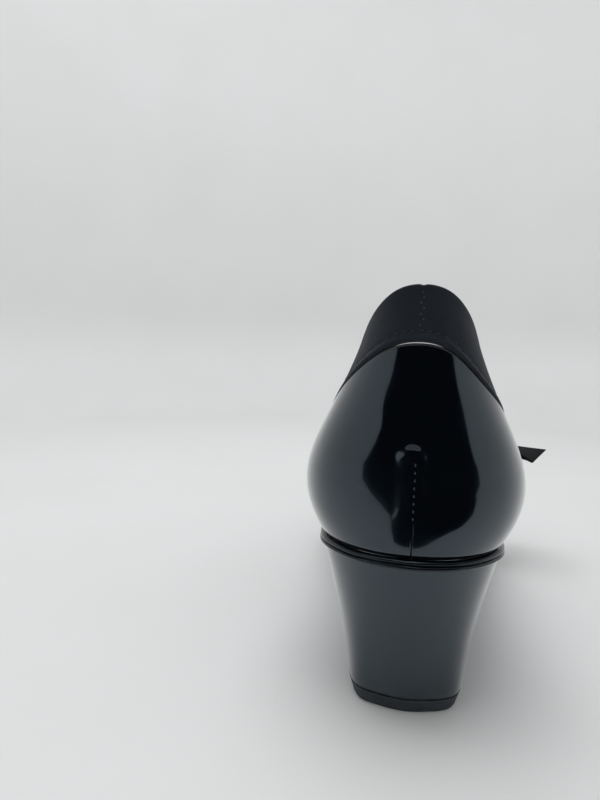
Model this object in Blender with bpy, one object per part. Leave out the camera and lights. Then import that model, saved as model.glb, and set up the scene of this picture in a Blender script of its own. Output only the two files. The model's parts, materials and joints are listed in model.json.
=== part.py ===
"""Wedge heel shoe in black patent, for the right foot, with a stretch fabric collar and a bow.

Toe towards +Y, outer side towards +X, +Z up, in metres. The origin is at the middle of the
box's bottom. Distances along the shoe are first measured from the back of the seat, and the
parent empty then moves the whole shoe to its origin.
"""
import math

import bpy
import bmesh
import numpy as np
from mathutils import Vector
from mathutils.bvhtree import BVHTree

for old in list(bpy.data.objects):
    bpy.data.objects.remove(old, do_unlink=True)

MM = 0.001
GAP = 0.3 * MM

# Lengths and widths
SHOE_LENGTH = 247 * MM
SEAT_WIDTH = 60 * MM
WAIST_WIDTH = 58 * MM
BALL_WIDTH = 88 * MM
HEEL_BASE_WIDTH = 38 * MM
WAIST_BASE_WIDTH = 50 * MM
BALL_BASE_WIDTH = 89 * MM
OPENING_WIDTH = 58 * MM

# Heights
SEAT_HEIGHT = 49.8 * MM
COLLAR_HEIGHT = 132 * MM
THROAT_HEIGHT = 66 * MM
HEEL_SOLE = 4.8 * MM
FOREFOOT_SOLE = 5.4 * MM
TOE_SPRING = 7 * MM
SPRING_START = 0.70
WEDGE_FRONT = 0.68

# Upper and collar
UPPER_WALL = 1.8 * MM
COLLAR_WALL = 1.6 * MM
BAND_WIDTH = 17 * MM
BELLY_REACH = 16 * MM
BELLY_RISE = 20 * MM
CROWN_REACH = 40 * MM
CROWN_DROP = 34 * MM

# Dart up the centre back
DART_WIDTH = 7 * MM
DART_TOP = 85 * MM
DART_HEIGHT = 0.9 * MM

# Rand, insole and sole edges
RAND_HEIGHT = 2.8 * MM
RAND_PROUD = 1.1 * MM
RAND_DEPTH = 3.0 * MM
RAND_CORNER = 0.7 * MM
INSOLE_THICKNESS = 3.0 * MM
INSOLE_EDGE = 0.8 * MM
SOLE_DRAFT = 1.5 * MM
SOLE_EDGE_RADIUS = 0.7 * MM
WEDGE_HOLLOW = 0.6 * MM

# Bow
BOW_SIDE = 16 * MM
BOW_ALONG = 0.71
BOW_HALF_LENGTH = 54 * MM
LOOP_WIDTH_KNOT = 12 * MM
LOOP_WIDTH_END = 27 * MM
LOOP_HEIGHT = 5.5 * MM
RIBBON = 1.1 * MM
KNOT_LENGTH = 11 * MM
KNOT_WIDTH = 14 * MM
KNOT_HEIGHT = 8 * MM
KNOT_EDGE = 2.2 * MM
TAIL_LENGTH = 27 * MM
TAIL_WIDTH = 13 * MM
TAIL_SLANT = 3 * MM
TAIL_LIFT = 0.2 * MM
TAIL_SPREAD = math.radians(68)
BOW_RISE = 1.2 * MM
BOW_TILT = math.radians(15)
LOOP_TWIST = 0.21

# How finely the forms are divided
ROUND_STEPS = 84
PATENT_STEPS = 11
BAND_STEPS = 4
SOLE_STEPS = 34

# One row for each station round the shoe, from the back of the heel along the outer side to
# the toe and back along the inner side. Widths are shares of half the zone's width, distances
# along the shoe are shares of the length, and the rise is a share of the height from the
# throat to the back of the collar. The belly and crown columns are shares of the handles
# that swell the wall above the seam and below the topline.
COLUMNS = ("zone", "seam_x", "seam_y", "tread_x", "tread_y", "top_x", "top_y", "rise",
           "belly_out", "belly_up", "crown_out", "crown_down", "band")
STATIONS = (
    ("heel", 0.00, 0.003, 0.00, 0.040, 0.00, 0.040, 1.000, 0.18, 1.15, 0.09, 1.04, 1.00),
    ("heel", 0.48, 0.017, 0.49, 0.047, 0.30, 0.050, 0.968, 0.38, 1.15, 0.12, 0.98, 1.08),
    ("heel", 0.83, 0.058, 0.89, 0.068, 0.53, 0.084, 0.855, 0.78, 1.10, 0.18, 0.84, 1.36),
    ("heel", 0.97, 0.130, 0.98, 0.135, 0.69, 0.146, 0.665, 1.06, 1.05, 0.21, 0.72, 1.26),
    ("waist", 1.03, 0.250, 0.86, 0.250, 0.87, 0.235, 0.470, 0.92, 0.98, 0.17, 0.62, 0.84),
    ("waist", 1.10, 0.385, 1.08, 0.388, 0.98, 0.345, 0.320, 0.56, 0.85, 0.10, 0.60, 0.66),
    ("ball", 0.89, 0.545, 0.84, 0.545, 1.01, 0.450, 0.195, 0.38, 0.95, 0.15, 0.47, 0.64),
    ("ball", 1.00, 0.668, 0.99, 0.668, 0.86, 0.545, 0.095, 0.31, 1.05, 0.35, 0.41, 0.60),
    ("ball", 0.93, 0.810, 0.94, 0.810, 0.56, 0.600, 0.030, 0.25, 1.00, 0.62, 0.41, 0.55),
    ("ball", 0.65, 0.928, 0.66, 0.930, 0.26, 0.620, 0.006, 0.28, 0.95, 0.90, 0.50, 0.52),
    ("ball", -0.03, 0.996, -0.03, 1.000, -0.03, 0.627, 0.000, 0.31, 0.95, 1.06, 0.58, 0.52),
    ("ball", -0.66, 0.938, -0.67, 0.940, -0.32, 0.620, 0.006, 0.28, 0.95, 0.90, 0.50, 0.52),
    ("ball", -0.88, 0.828, -0.89, 0.828, -0.62, 0.597, 0.035, 0.25, 1.00, 0.62, 0.41, 0.55),
    ("ball", -0.98, 0.712, -0.98, 0.712, -0.88, 0.540, 0.105, 0.28, 1.05, 0.33, 0.41, 0.60),
    ("ball", -0.86, 0.585, -0.82, 0.585, -0.98, 0.450, 0.205, 0.31, 0.95, 0.15, 0.47, 0.64),
    ("waist", -0.94, 0.425, -0.95, 0.425, -0.94, 0.345, 0.335, 0.44, 0.90, 0.10, 0.60, 0.66),
    ("waist", -0.86, 0.270, -0.77, 0.270, -0.84, 0.235, 0.480, 0.95, 1.00, 0.19, 0.62, 0.84),
    ("heel", -0.97, 0.138, -0.99, 0.138, -0.69, 0.146, 0.665, 1.06, 1.05, 0.22, 0.72, 1.23),
    ("heel", -0.84, 0.060, -0.84, 0.065, -0.53, 0.084, 0.855, 0.78, 1.10, 0.18, 0.84, 1.13),
    ("heel", -0.49, 0.017, -0.47, 0.047, -0.30, 0.050, 0.968, 0.38, 1.15, 0.12, 0.98, 1.02),
)
SEAM_WIDTHS = {"heel": SEAT_WIDTH, "waist": WAIST_WIDTH, "ball": BALL_WIDTH}
TREAD_WIDTHS = {"heel": HEEL_BASE_WIDTH, "waist": WAIST_BASE_WIDTH, "ball": BALL_BASE_WIDTH}

# The side view of the last's bottom: share of the length, share of the drop from seat to ball
BOTTOM_PROFILE = (
    (-0.05, 1.000), (0.00, 1.000), (0.08, 0.988), (0.16, 0.950), (0.24, 0.865), (0.32, 0.725),
    (0.40, 0.545), (0.48, 0.360), (0.56, 0.195), (0.62, 0.100), (0.68, 0.035), (0.74, 0.006),
    (0.80, 0.000), (0.90, 0.000), (1.00, 0.000), (1.05, 0.000))


def cubic_through(knots, values, where, period=None):
    """Reads a smooth cubic curve through the values at the knots, closed when it has a period."""
    count = len(knots)
    rows = np.zeros((count, count))
    right = np.zeros((count,) + values.shape[1:])
    if period:
        ahead = np.append(np.diff(knots), period - knots[-1] + knots[0])
        rises = (np.roll(values, -1, axis=0) - values) / ahead[:, None]
        for i in range(count):
            before = ahead[i - 1]
            rows[i, i - 1] += ahead[i]
            rows[i, i] += 2 * (before + ahead[i])
            rows[i, (i + 1) % count] += before
            right[i] = 3 * (ahead[i] * rises[i - 1] + before * rises[i])
    else:
        ahead = np.diff(knots)
        rises = (values[1:] - values[:-1]) / ahead[:, None]
        rows[0, 0] = rows[-1, -1] = 1
        right[0], right[-1] = rises[0], rises[-1]
        for i in range(1, count - 1):
            rows[i, i - 1] = ahead[i]
            rows[i, i] = 2 * (ahead[i - 1] + ahead[i])
            rows[i, i + 1] = ahead[i - 1]
            right[i] = 3 * (ahead[i] * rises[i - 1] + ahead[i - 1] * rises[i])
    slopes = np.linalg.solve(rows, right)
    where = np.asarray(where, float)
    if period:
        where = knots[0] + np.mod(where - knots[0], period)
        knots = np.append(knots, knots[0] + period)
        values = np.vstack([values, values[:1]])
        slopes = np.vstack([slopes, slopes[:1]])
    piece = np.clip(np.searchsorted(knots, where, side="right") - 1, 0, len(knots) - 2)
    span = (knots[piece + 1] - knots[piece])[:, None]
    t = (where - knots[piece])[:, None] / span
    low, high = values[piece], values[piece + 1]
    return (low * (1 + 2 * t) * (1 - t) ** 2 + high * t * t * (3 - 2 * t)
            + span * (slopes[piece] * t * (1 - t) ** 2 - slopes[piece + 1] * t * t * (1 - t)))


def station_values():
    """Turns the table's shares into metres: one row of real sizes for each station."""
    rows = []
    for row in STATIONS:
        at = dict(zip(COLUMNS, row))
        seam_half = SEAM_WIDTHS[at["zone"]] / 2
        tread_half = TREAD_WIDTHS[at["zone"]] / 2
        rise = COLLAR_HEIGHT - THROAT_HEIGHT
        rows.append((
            at["seam_x"] * seam_half, at["seam_y"] * SHOE_LENGTH,
            at["tread_x"] * tread_half, at["tread_y"] * SHOE_LENGTH,
            at["top_x"] * OPENING_WIDTH / 2, at["top_y"] * SHOE_LENGTH,
            THROAT_HEIGHT + at["rise"] * rise,
            at["belly_out"] * BELLY_REACH, at["belly_up"] * BELLY_RISE,
            at["crown_out"] * CROWN_REACH, at["crown_down"] * CROWN_DROP,
            at["band"] * BAND_WIDTH))
    return np.array(rows)


VALUES = station_values()
STEPS_BETWEEN = np.linalg.norm(np.roll(VALUES[:, :2], -1, axis=0) - VALUES[:, :2], axis=1)
GIRTH = STEPS_BETWEEN.sum()
KNOTS = np.append(0, np.cumsum(STEPS_BETWEEN)[:-1])


def stations_at(girths):
    """Reads every column of the table at distances along the seam from the centre back."""
    return cubic_through(KNOTS, VALUES, girths, GIRTH)


def toe_spring(y):
    """How far the ground side of the sole has risen at a distance from the back of the seat."""
    start = SPRING_START * SHOE_LENGTH
    share = np.clip((np.asarray(y) - start) / (SHOE_LENGTH - start), 0, 1.2)
    return TOE_SPRING * share ** 2


def seat_level(y):
    """The height of the last's bottom, which the wedge and the forefoot sole carry."""
    profile = np.array(BOTTOM_PROFILE)
    drop = cubic_through(profile[:, 0] * SHOE_LENGTH, profile[:, 1:], np.ravel(y))
    drop = drop.reshape(np.shape(y))
    return FOREFOOT_SOLE + drop * (SEAT_HEIGHT - FOREFOOT_SOLE) + toe_spring(y)


def seam_normals(girths):
    """Unit vectors in plan that point out of the seam line."""
    reach = 0.5 * MM
    ahead = stations_at(girths + reach)[:, :2]
    behind = stations_at(girths - reach)[:, :2]
    along = ahead - behind
    out = np.stack([along[:, 1], -along[:, 0]], axis=1)
    return out / np.linalg.norm(out, axis=1, keepdims=True)


UPPER_LIFT = RAND_HEIGHT + 2 * GAP
ARC_SAMPLES = 48


def meridians(girths):
    """Finely sampled lines up the wall, from the seam to the topline, one for each girth."""
    at = stations_at(girths)
    out = seam_normals(girths)
    foot = np.column_stack([at[:, 0], at[:, 1], seat_level(at[:, 1]) + UPPER_LIFT])
    top = at[:, 4:7]
    belly = foot + np.column_stack([out * at[:, 7:8], at[:, 8]])
    crown = top + np.column_stack([out * at[:, 9:10], -at[:, 10]])
    t = np.linspace(0, 1, ARC_SAMPLES)[None, :, None]
    line = (foot[:, None] * (1 - t) ** 3 + 3 * belly[:, None] * t * (1 - t) ** 2
            + 3 * crown[:, None] * t * t * (1 - t) + top[:, None] * t ** 3)
    return line


def points_up(lines, lengths):
    """Points on each line at given distances up from the seam; one row of distances a line."""
    result = np.zeros(lengths.shape + (3,))
    for i, line in enumerate(lines):
        run = np.append(0, np.cumsum(np.linalg.norm(np.diff(line, axis=0), axis=1)))
        for axis in range(3):
            result[i, :, axis] = np.interp(lengths[i], run, line[:, axis])
    return result


def line_lengths(lines):
    return np.linalg.norm(np.diff(lines, axis=1), axis=2).sum(axis=1)


def dart_height(points):
    """How far the dart's channel stands out of the wall round the centre back."""
    half = DART_WIDTH / 2
    arch = np.clip(points[..., 2] - (DART_TOP - half), 0, None)
    away = np.sqrt(points[..., 0] ** 2 + arch ** 2)
    edge = np.clip((half - away) / (0.35 * half), 0, 1)
    behind = points[..., 1] < 0.1 * SHOE_LENGTH
    return DART_HEIGHT * edge * edge * (3 - 2 * edge) * behind


def wall_surface(girths, start, end, steps, offset=0.0, dart=False):
    """A grid of points on the wall between two heights up each line, moved out by the offset."""
    lines = meridians(girths)
    total = line_lengths(lines)
    bands = stations_at(girths)[:, 11]
    first = start(total, bands)
    last = end(total, bands)
    shares = np.linspace(0, 1, steps + 1)[None, :]
    lengths = first[:, None] + (last - first)[:, None] * shares
    grid = points_up(lines, lengths)
    reach = 0.4 * MM
    above = points_up(lines, np.minimum(lengths + reach, total[:, None]))
    below = points_up(lines, np.maximum(lengths - reach, 0))
    side = []
    for shift in (reach, -reach):
        beside = meridians(girths + shift)
        side.append(points_up(beside, lengths * (line_lengths(beside) / total)[:, None]))
    normals = np.cross(side[0] - side[1], above - below)
    normals /= np.linalg.norm(normals, axis=2, keepdims=True)
    away = np.full(lengths.shape, offset)
    if dart:
        away = away + dart_height(grid)
    return grid + normals * away[..., None], normals


def girth_steps(count):
    """Distances round the seam: even steps, with finer ones across the dart at the back."""
    half = DART_WIDTH / 2
    fine = np.array([0, 0.35, 0.65, 0.85, 1.0, 1.35, 1.9]) * half
    even = np.arange(1, count) * GIRTH / count
    clear = even[(even > fine[-1] + half * 0.5) & (even < GIRTH - fine[-1] - half * 0.5)]
    return np.concatenate([fine, clear, GIRTH - fine[:0:-1]])


def finish_mesh(name, points, faces, material, parent, collection, merge=0.001 * MM):
    """Makes one object from points and faces, merging points that meet, faces pointing out."""
    form = bmesh.new()
    corners = [form.verts.new(point) for point in points]
    for face in faces:
        form.faces.new([corners[i] for i in face])
    bmesh.ops.remove_doubles(form, verts=form.verts, dist=merge)
    bmesh.ops.recalc_face_normals(form, faces=form.faces)
    mesh = bpy.data.meshes.new(name)
    form.to_mesh(mesh)
    form.free()
    mesh.shade_smooth()
    mesh.set_sharp_from_angle(angle=math.radians(35))
    mesh.materials.append(material)
    made = bpy.data.objects.new(name, mesh)
    made.parent = parent
    collection.objects.link(made)
    return made


def ring_faces(rings, size):
    """Quads between closed rings, each ring joined to the next and the last to the first."""
    faces = []
    for ring in range(rings):
        following = (ring + 1) % rings
        for i in range(size):
            j = (i + 1) % size
            faces.append((ring * size + i, ring * size + j,
                          following * size + j, following * size + i))
    return faces


def shell(name, outer, inner, material, parent, collection):
    """A wall between an outer and an inner grid: rows round the shoe, columns up the wall."""
    sections = np.concatenate([outer, inner[:, ::-1]], axis=1)
    rings, size = sections.shape[:2]
    return finish_mesh(name, sections.reshape(-1, 3), ring_faces(rings, size),
                       material, parent, collection)


def make_upper(material, parent, collection):
    """The patent shell from the seam up to the collar, with the dart as a step in its wall."""
    girths = girth_steps(ROUND_STEPS)

    def seam(total, bands):
        return 0 * total

    def band_edge(total, bands):
        return total - bands - GAP / 2

    outer, _ = wall_surface(girths, seam, band_edge, PATENT_STEPS, dart=True)
    inner, _ = wall_surface(girths, seam, band_edge, PATENT_STEPS, offset=-UPPER_WALL)
    inner[:, 0, 2] = outer[:, 0, 2]
    return shell("upper", outer, inner, material, parent, collection)


def make_collar(material, parent, collection):
    """The band of stretch fabric from the patent's edge up to the opening."""
    girths = girth_steps(ROUND_STEPS)

    def band_edge(total, bands):
        return total - bands + GAP / 2

    def opening(total, bands):
        return total

    outer, _ = wall_surface(girths, band_edge, opening, BAND_STEPS)
    inner, _ = wall_surface(girths, band_edge, opening, BAND_STEPS, offset=-COLLAR_WALL)
    return shell("collar", outer, inner, material, parent, collection)


def make_rand(material, parent, collection):
    """The rolled strip between the upper and what carries it, all the way round."""
    girths = girth_steps(ROUND_STEPS)
    at = stations_at(girths)
    out = seam_normals(girths)
    corner = RAND_CORNER
    section = ((-RAND_DEPTH, 0), (RAND_PROUD - corner, 0), (RAND_PROUD, corner),
               (RAND_PROUD, RAND_HEIGHT - corner), (RAND_PROUD - corner, RAND_HEIGHT),
               (-RAND_DEPTH, RAND_HEIGHT))
    sections = np.zeros((len(girths), len(section), 3))
    for i, (away, up) in enumerate(section):
        plan = at[:, :2] + out * away
        sections[:, i, :2] = plan
        sections[:, i, 2] = seat_level(at[:, 1]) + GAP + up
    rings, size = sections.shape[:2]
    return finish_mesh("rand", sections.reshape(-1, 3), ring_faces(rings, size),
                       material, parent, collection)


def outline(columns, inset):
    """A finely sampled closed outline in plan, moved in by the inset."""
    girths = np.linspace(0, GIRTH, 720, endpoint=False)
    line = stations_at(girths)[:, columns]
    along = np.roll(line, -1, axis=0) - np.roll(line, 1, axis=0)
    out = np.stack([along[:, 1], -along[:, 0]], axis=1)
    out /= np.linalg.norm(out, axis=1, keepdims=True)
    return line - out * inset


SEAM = slice(0, 2)
TREAD = slice(2, 4)


def half_widths(line, where):
    """The outer and inner side of an outline at distances along the shoe."""
    back = int(np.argmin(line[:, 1]))
    line = np.roll(line, -back, axis=0)
    toe = int(np.argmax(line[:, 1]))
    outer = line[:toe + 1]
    inner = np.vstack([line[toe:], line[:1]])[::-1]
    return (np.interp(where, outer[:, 1], outer[:, 0]),
            np.interp(where, inner[:, 1], inner[:, 0]))


def round_shares(steps):
    """Shares of a length that crowd towards both of its ends, where an outline turns."""
    return (1 - np.cos(np.linspace(0, math.pi, steps + 1))) / 2


def slab(name, levels, material, parent, collection, blunt_front=False):
    """A solid between outlines at several levels. Each level is a list of cross stations, and
    each station an outer point and an inner point; the two meet at the ends of the shoe."""
    points = []
    index = []
    for outer, inner in levels:
        index.append((len(points), len(points) + len(outer)))
        points.extend(outer)
        points.extend(inner)
    count = len(levels[0][0])
    faces = []
    for (low_outer, low_inner), (high_outer, high_inner) in zip(index[:-1], index[1:]):
        for j in range(count - 1):
            faces.append((low_outer + j, low_outer + j + 1, high_outer + j + 1, high_outer + j))
            faces.append((low_inner + j + 1, low_inner + j, high_inner + j, high_inner + j + 1))
        if blunt_front:
            end = count - 1
            faces.append((low_outer + end, low_inner + end, high_inner + end, high_outer + end))
    for side, turn in ((index[0], 1), (index[-1], -1)):
        for j in range(count - 1):
            strip = (side[0] + j, side[1] + j, side[1] + j + 1, side[0] + j + 1)
            faces.append(strip[::turn])
    return finish_mesh(name, points, faces, material, parent, collection, merge=0.01 * MM)


def level(line, where, height):
    """One level of a slab: points on both sides of an outline at the given distances."""
    outer, inner = half_widths(line, where)
    ends = (where <= line[:, 1].min()) | (where >= line[:, 1].max())
    middle = (outer + inner) / 2
    outer = np.where(ends, middle, outer)
    inner = np.where(ends, middle, inner)
    z = height(where)
    return (np.column_stack([outer, where, z]), np.column_stack([inner, where, z]))


def distances(line, steps, front=None):
    """Distances along an outline from its back to its toe, or to a blunt front."""
    back = line[:, 1].min()
    if front is None:
        return back + (line[:, 1].max() - back) * round_shares(steps)
    shares = 1 - np.cos(np.linspace(0, math.pi / 2, steps + 1))
    return back + (front - back) * shares


def make_insole(material, parent, collection):
    """The footbed inside the rand and the upper."""
    edge = INSOLE_EDGE
    inset = RAND_DEPTH + GAP
    levels = []
    for lift, draw in ((0, edge), (edge, 0), (INSOLE_THICKNESS - edge, 0),
                       (INSOLE_THICKNESS, edge)):
        line = outline(SEAM, inset + draw)

        def height(y, lift=lift):
            return seat_level(y) + GAP + lift

        levels.append(level(line, distances(line, SOLE_STEPS), height))
    return slab("insole", levels, material, parent, collection)


def make_wedge(material, parent, collection):
    """The covered wedge: flat below, the last's bottom above, its sides drawn in to the base."""
    front = WEDGE_FRONT * SHOE_LENGTH
    top = outline(SEAM, 0)
    base = outline(TREAD, 0)
    steps = SOLE_STEPS
    low = level(base, distances(base, steps, front), lambda y: 0 * y + HEEL_SOLE + GAP)
    high = level(top, distances(top, steps, front), seat_level)
    levels = []
    for share in (0, 0.25, 0.5, 0.75, 1):
        hollow = WEDGE_HOLLOW * 4 * share * (1 - share)
        sides = []
        for below, above, turn in ((low[0], high[0], 1), (low[1], high[1], -1)):
            side = below * (1 - share) + above * share
            tall = np.clip((above[:, 2] - below[:, 2]) / SEAT_HEIGHT, 0, 1)
            side[1:, 0] -= turn * hollow * tall[1:]
            side[0, 1] += hollow
            sides.append(side)
        levels.append(sides)
    return slab("wedge", levels, material, parent, collection, blunt_front=True)


def make_outsole(material, parent, collection):
    """The rubber sole: level under the wedge, thicker in front of it, with a toe spring."""
    front = WEDGE_FRONT * SHOE_LENGTH
    step = 0.05 * MM

    def with_step(line):
        where = distances(line, SOLE_STEPS + 8)
        nearest = int(np.argmin(abs(where - front)))
        where[nearest] = front + GAP
        return np.insert(where, nearest + 1, front + GAP + step)

    def top_height(y):
        under_wedge = 0 * y + HEEL_SOLE
        return np.where(y > front + GAP + step / 2, seat_level(y), under_wedge)

    def lift(share):
        return lambda y: toe_spring(y) * (1 - share) + top_height(y) * share

    draft = SOLE_DRAFT
    round_share = SOLE_EDGE_RADIUS / HEEL_SOLE
    levels = []
    for share, inset in ((0, draft + SOLE_EDGE_RADIUS), (round_share, draft), (1, 0)):
        line = outline(TREAD, inset)
        levels.append(level(line, with_step(line), lift(share)))
    return slab("outsole", levels, material, parent, collection)


def vamp_surface():
    """The outer face of the vamp and its band, as a tree that can be asked for the place below."""
    girths = np.linspace(0.22 * GIRTH, 0.78 * GIRTH, 121)
    grid, _ = wall_surface(girths, lambda total, bands: 0 * total,
                           lambda total, bands: total, 40)
    rows, columns = grid.shape[:2]
    faces = [(i * columns + j, (i + 1) * columns + j,
              (i + 1) * columns + j + 1, i * columns + j + 1)
             for i in range(rows - 1) for j in range(columns - 1)]
    return BVHTree.FromPolygons([tuple(point) for point in grid.reshape(-1, 3)], faces)


def on_vamp(vamp, x, y, away):
    """The point above (x, y) that stands off the vamp by a distance, and the way out there."""
    above = Vector((x, y, COLLAR_HEIGHT))
    place, normal, _, _ = vamp.ray_cast(above, Vector((0, 0, -1)))
    if place is None:
        place, normal, _, _ = vamp.find_nearest(Vector((x, y, THROAT_HEIGHT / 2)))
    if normal.z < 0:
        normal = -normal
    return place + normal * away, normal


def bow_frame(vamp):
    """The bow's own frame on the vamp: across to the outer side, forward, and up."""
    foot, up = on_vamp(vamp, BOW_SIDE, BOW_ALONG * SHOE_LENGTH, 0)
    up = (up + Vector((0, 0, 1))).normalized()
    across = Vector((1, 0, 0))
    across = (across - up * across.dot(up)).normalized()
    forward = up.cross(across)
    return foot, across, forward, up


def place_in_bow(frame, across, forward, up):
    """A point of the bow: its loops lean back, and turn their backs down towards their ends."""
    foot, across_axis, forward_axis, up_axis = frame
    share = across / BOW_HALF_LENGTH
    rise = BOW_RISE * share * share
    back = math.sin(BOW_TILT) * abs(across)
    outward = math.sin(BOW_TILT) * forward * share
    lift = LOOP_TWIST * forward * abs(share)
    return (foot + across_axis * (across + outward) + forward_axis * (forward - back)
            + up_axis * (up + rise + lift))


def make_loop(name, side, frame, material, parent, collection):
    """A loop of the bow: one ribbon that runs out, turns and comes back below itself."""
    start = KNOT_LENGTH / 2 + GAP
    reach = BOW_HALF_LENGTH - start
    foot = 2 * RIBBON + 2 * GAP
    turns = 26
    points = []
    for i in range(turns):
        angle = 2 * math.pi * i / turns
        run = (1 - math.cos(angle)) / 2
        swell = math.sin(angle)
        fullness = (0.25 + 0.75 * math.sin(math.pi * min(run * 0.62 + 0.2, 1))) * swell
        middle = foot + LOOP_HEIGHT / 2
        half = LOOP_WIDTH_KNOT / 2 + (LOOP_WIDTH_END - LOOP_WIDTH_KNOT) / 2 * run ** 1.3
        outward = Vector((-math.cos(angle), 0, 0.35 * math.sin(angle))).normalized()
        for thick in (0, RIBBON):
            for edge in (-1, 1):
                across = start + RIBBON * 0.5 + run * (reach - RIBBON) - outward.x * thick
                up = middle + fullness * LOOP_HEIGHT / 2
                up += thick * (-1 if swell > 0 else 1) * abs(swell) ** 0.5
                points.append(place_in_bow(frame, side * across, edge * half, up))
    faces = []
    for i in range(turns):
        j = (i + 1) % turns
        a, b = 4 * i, 4 * j
        faces.append((a, a + 1, b + 1, b))
        faces.append((a + 1, a + 3, b + 3, b + 1))
        faces.append((a + 3, a + 2, b + 2, b + 3))
        faces.append((a + 2, a, b, b + 2))
    return finish_mesh(name, points, faces, material, parent, collection)


def make_tail(name, side, frame, vamp, material, parent, collection):
    """A tail of the bow: a flat ribbon that lies on the vamp, with a slanted end."""
    steps = 10
    edges = np.linspace(-1, 1, 5)
    along = Vector((side * math.cos(TAIL_SPREAD), math.sin(TAIL_SPREAD), 0))
    beside = Vector((-along.y, along.x, 0)) * side
    centre = Vector((BOW_SIDE + side * (TAIL_WIDTH / 2 + GAP), frame[0].y, 0))
    under, over = [], []
    for run in np.linspace(0, 1, steps + 1):
        half = (0.7 + 0.3 * run) * TAIL_WIDTH / 2
        for edge in edges:
            plan = (centre + along * (run * TAIL_LENGTH - TAIL_SLANT * edge * run)
                    + beside * edge * half)
            under.append(on_vamp(vamp, plan.x, plan.y, GAP + TAIL_LIFT)[0])
            over.append(on_vamp(vamp, plan.x, plan.y, GAP + TAIL_LIFT + RIBBON)[0])
    across = len(edges)
    below = len(over)
    rim = list(range(across)) + [below + i for i in reversed(range(across))]
    faces = []
    for i in range(steps):
        for a, b in zip(rim, rim[1:] + rim[:1]):
            faces.append((across * i + a, across * i + b,
                          across * (i + 1) + b, across * (i + 1) + a))
    faces.append(tuple(rim))
    faces.append(tuple(across * steps + corner for corner in reversed(rim)))
    return finish_mesh(name, over + under, faces, material, parent, collection)


def make_knot(frame, material, parent, collection):
    """The knot: a band of ribbon pulled over the middle of the bow."""
    form = bmesh.new()
    bmesh.ops.create_cube(form, size=1)
    bottom = 2 * GAP + RIBBON
    for vert in form.verts:
        high = vert.co.z > 0
        narrow = 0.8 if high else 1.0
        vert.co = place_in_bow(frame, vert.co.x * KNOT_LENGTH,
                               vert.co.y * KNOT_WIDTH * narrow,
                               bottom + (KNOT_HEIGHT if high else 0))
    bmesh.ops.bevel(form, geom=list(form.edges), offset=KNOT_EDGE, segments=3, profile=0.5,
                    affect="EDGES", clamp_overlap=True)
    bmesh.ops.recalc_face_normals(form, faces=form.faces)
    mesh = bpy.data.meshes.new("bow_knot")
    form.to_mesh(mesh)
    form.free()
    mesh.shade_smooth()
    mesh.materials.append(material)
    made = bpy.data.objects.new("bow_knot", mesh)
    made.parent = parent
    collection.objects.link(made)
    return made


def make_material(name, colour, roughness):
    material = bpy.data.materials.new(name)
    material.use_nodes = True
    shader = material.node_tree.nodes["Principled BSDF"]
    shader.inputs["Base Color"].default_value = (*colour, 1)
    shader.inputs["Roughness"].default_value = roughness
    shader.inputs["Metallic"].default_value = 0
    return material


def build_shoe():
    collection = bpy.data.collections.new("wedge_heel")
    bpy.context.scene.collection.children.link(collection)
    parent = bpy.data.objects.new("shoe_origin", None)
    collection.objects.link(parent)

    patent = make_material("patent", (0.004, 0.005, 0.007), 0.08)
    stretch = make_material("stretch_fabric", (0.012, 0.013, 0.015), 0.9)
    rubber = make_material("sole_rubber", (0.018, 0.019, 0.02), 0.6)
    footbed = make_material("footbed", (0.03, 0.03, 0.032), 0.7)
    ribbon = make_material("ribbon", (0.004, 0.004, 0.005), 0.95)

    make_upper(patent, parent, collection)
    make_collar(stretch, parent, collection)
    make_rand(patent, parent, collection)
    make_insole(footbed, parent, collection)
    make_wedge(patent, parent, collection)
    make_outsole(rubber, parent, collection)

    vamp = vamp_surface()
    frame = bow_frame(vamp)
    make_knot(frame, ribbon, parent, collection)
    for side, word in ((1, "outer"), (-1, "inner")):
        make_loop("bow_loop_" + word, side, frame, ribbon, parent, collection)
        make_tail("bow_tail_" + word, side, frame, vamp, ribbon, parent, collection)

    corners = np.array([tuple(vert.co) for made in collection.objects if made.type == "MESH"
                        for vert in made.data.vertices])
    low, high = corners.min(axis=0), corners.max(axis=0)
    parent.location = (-(low[0] + high[0]) / 2, -(low[1] + high[1]) / 2, -low[2])


build_shoe()
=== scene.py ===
"""Looks for the wedge heel shoe: black patent, stretch collar, rolled rand, rubber sole and bow."""
import json
import math

import bpy
import bmesh
import numpy as np
from mathutils import Matrix, Vector
from mathutils.bvhtree import BVHTree

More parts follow.
